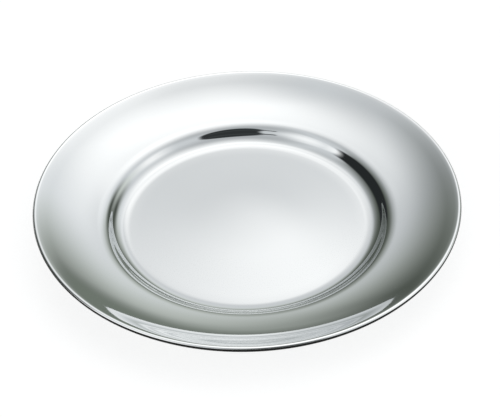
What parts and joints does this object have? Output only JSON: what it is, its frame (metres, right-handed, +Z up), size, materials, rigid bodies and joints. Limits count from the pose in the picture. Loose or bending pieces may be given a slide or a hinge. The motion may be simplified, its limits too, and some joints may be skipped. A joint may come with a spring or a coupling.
{
  "type": "rice plate",
  "caption": "Shallow round pressed steel rice plate with a crowned well, a rounded step, a wide upswept flange and a bead rim rolled over a core wire.",
  "frame": {"origin": "centre of the plate on the surface that it stands on", "axes": "+Z up along the plate's axis of revolution; X and Y in the plane of the table"},
  "size_m": [0.23, 0.23, 0.0212],
  "materials": {
    "polished_steel": "mirror-polished stainless steel sheet",
    "drawn_wire": "bright drawn steel wire"
  },
  "bodies": {
    "root": {"pressed_plate": "polished_steel", "rim_wire": "drawn_wire"}
  },
  "joints": []
}
